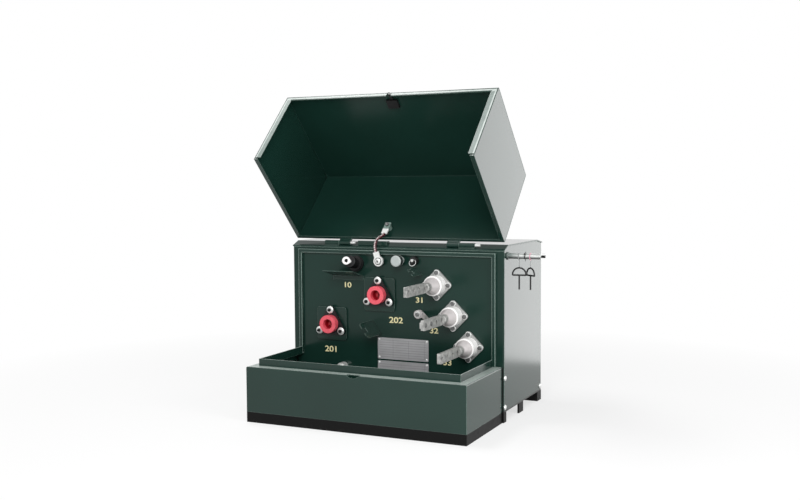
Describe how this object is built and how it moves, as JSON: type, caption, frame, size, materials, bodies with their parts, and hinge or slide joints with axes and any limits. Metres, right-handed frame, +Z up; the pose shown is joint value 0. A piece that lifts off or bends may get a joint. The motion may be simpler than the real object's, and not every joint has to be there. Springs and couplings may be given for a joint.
{
  "type": "pad-mounted power transformer",
  "caption": "Low, green pad-mounted power transformer on a dark base with its front hood swung open over the bushing wells, spade terminals and fittings of the cable compartment.",
  "frame": {"origin": "on the ground under the middle of the tank's front rail, near the middle of the footprint", "axes": "+Z up; -Y out of the front, towards the person at the cable compartment; +X to the right as seen from there"},
  "size_m": [0.9625, 0.762, 1.1423],
  "materials": {
    "green_enamel": "glossy dark green enamel",
    "black_base_paint": "black base coat",
    "red_epoxy": "glossy red moulded epoxy",
    "white_insulator": "white moulded insulator",
    "cast_aluminium": "as cast",
    "tinned_terminal": "tinned, dull",
    "zinc_steel": "zinc plated",
    "black_moulding": "black moulding",
    "plate_metal": "satin plate",
    "braid": "tinned copper braid"
  },
  "bodies": {
    "tank": {"drain_valve": "zinc_steel", "earth_lug_tank": "zinc_steel", "earth_strap": "braid", "eye_pins": "black_base_paint", "fill_plug": "white_insulator", "front_base_rail": "black_base_paint", "fuse_drip_shield": "black_moulding", "fuse_holder": "black_moulding", "fuse_pull_eye": "white_insulator", "hinge_pins": "zinc_steel", "hood_stop": "green_enamel", "hv_clamps": "black_moulding", "hv_pads": "green_enamel", "hv_well_a": "red_epoxy", "hv_well_b": "red_epoxy", "lifting_pins": "green_enamel", "lower_plate": "plate_metal", "lv_flanges": "cast_aluminium", "lv_insulators": "white_insulator", "lv_terminal_1": "tinned_terminal", "lv_terminal_2": "tinned_terminal", "lv_terminal_3": "tinned_terminal", "middle_feet": "black_base_paint", "nameplate": "plate_metal", "neutral_link": "tinned_terminal", "opening_rim": "green_enamel", "parking_stands": "green_enamel", "rear_base_rail": "black_base_paint", "relief_valve": "zinc_steel", "sill_front": "green_enamel", "sill_front_rail": "black_base_paint", "sill_left_side": "green_enamel", "sill_left_side_rail": "black_base_paint", "sill_right_side": "green_enamel", "sill_right_side_rail": "black_base_paint", "tank_body": "green_enamel", "tank_cover": "green_enamel", "tank_front_plate": "green_enamel", "tank_hinge_knuckles": "green_enamel"},
    "hood": {"hood_fold": "green_enamel", "hood_left_side": "green_enamel", "hood_right_side": "green_enamel", "hood_hinge_knuckles": "green_enamel", "earth_lug_hood": "zinc_steel", "hood_latch": "black_moulding"}
  },
  "joints": [
    {"name": "hood_hinge", "type": "hinge", "parent": "tank", "child": "hood", "pos_m": [0, -0.0035, 0.607], "axis": [1, 0, 0], "range_deg": [0, 135], "deforming": ["earth_strap"]}
  ]
}
